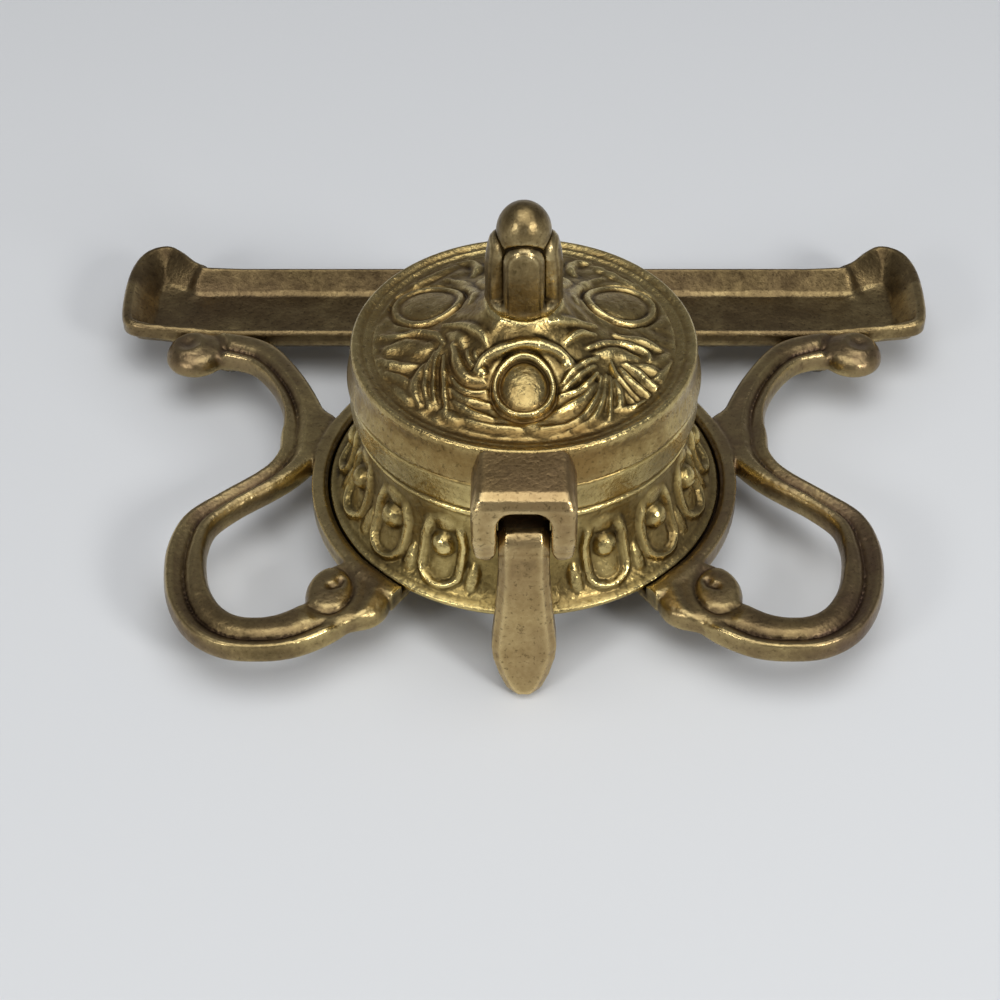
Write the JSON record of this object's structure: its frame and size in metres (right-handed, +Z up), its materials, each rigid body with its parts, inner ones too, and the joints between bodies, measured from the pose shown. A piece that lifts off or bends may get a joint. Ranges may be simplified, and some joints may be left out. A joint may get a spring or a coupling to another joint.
{
  "type": "desk inkstand",
  "caption": "Desk inkstand: a round inkwell with a hinged domed lid, held in a scrolled brass frame with open loops, in front of a long pen tray with flared ends.",
  "frame": {"origin": "middle of the footprint, on the table", "axes": "+X along the pen tray, +Y from the hinge towards the tray, +Z up"},
  "size_m": [0.169, 0.1203, 0.0738],
  "materials": {
    "aged_brass_frame": "cast, aged, olive-brown patina with rubbed edges",
    "aged_brass_tray": "cast, dull brown patina",
    "aged_brass_well": "cast, aged, bright on the bosses",
    "aged_brass_leg": "cast, filed faces, fine pitting",
    "aged_brass_lid": "cast relief, aged, rubbed rim",
    "aged_brass_finial": "cast, aged, polished by use",
    "turned_brass": "turned, dull",
    "aged_brass_feet": "turned, dull brown",
    "clear_glass": "pressed clear glass",
    "steel_screws": "old slotted screws, darkened"
  },
  "bodies": {
    "stand": {"stand_frame": "aged_brass_frame", "pen_tray": "aged_brass_tray", "well_body": "aged_brass_well", "rear_leg": "aged_brass_leg", "ink_pot": "clear_glass", "front_foot_left": "aged_brass_feet", "front_foot_right": "aged_brass_feet", "foot_screws": "steel_screws", "tray_screws": "steel_screws", "well_screws": "steel_screws", "leg_screws": "steel_screws"},
    "lid": {"lid": "aged_brass_lid", "finial": "aged_brass_finial", "finial_nut": "turned_brass", "hinge_pin": "turned_brass"}
  },
  "joints": [
    {"name": "lid_hinge", "type": "hinge", "parent": "stand", "child": "lid", "pos_m": [0, -0.0517, 0.0315], "axis": [1, 0, 0], "range_deg": [0, 105]}
  ]
}
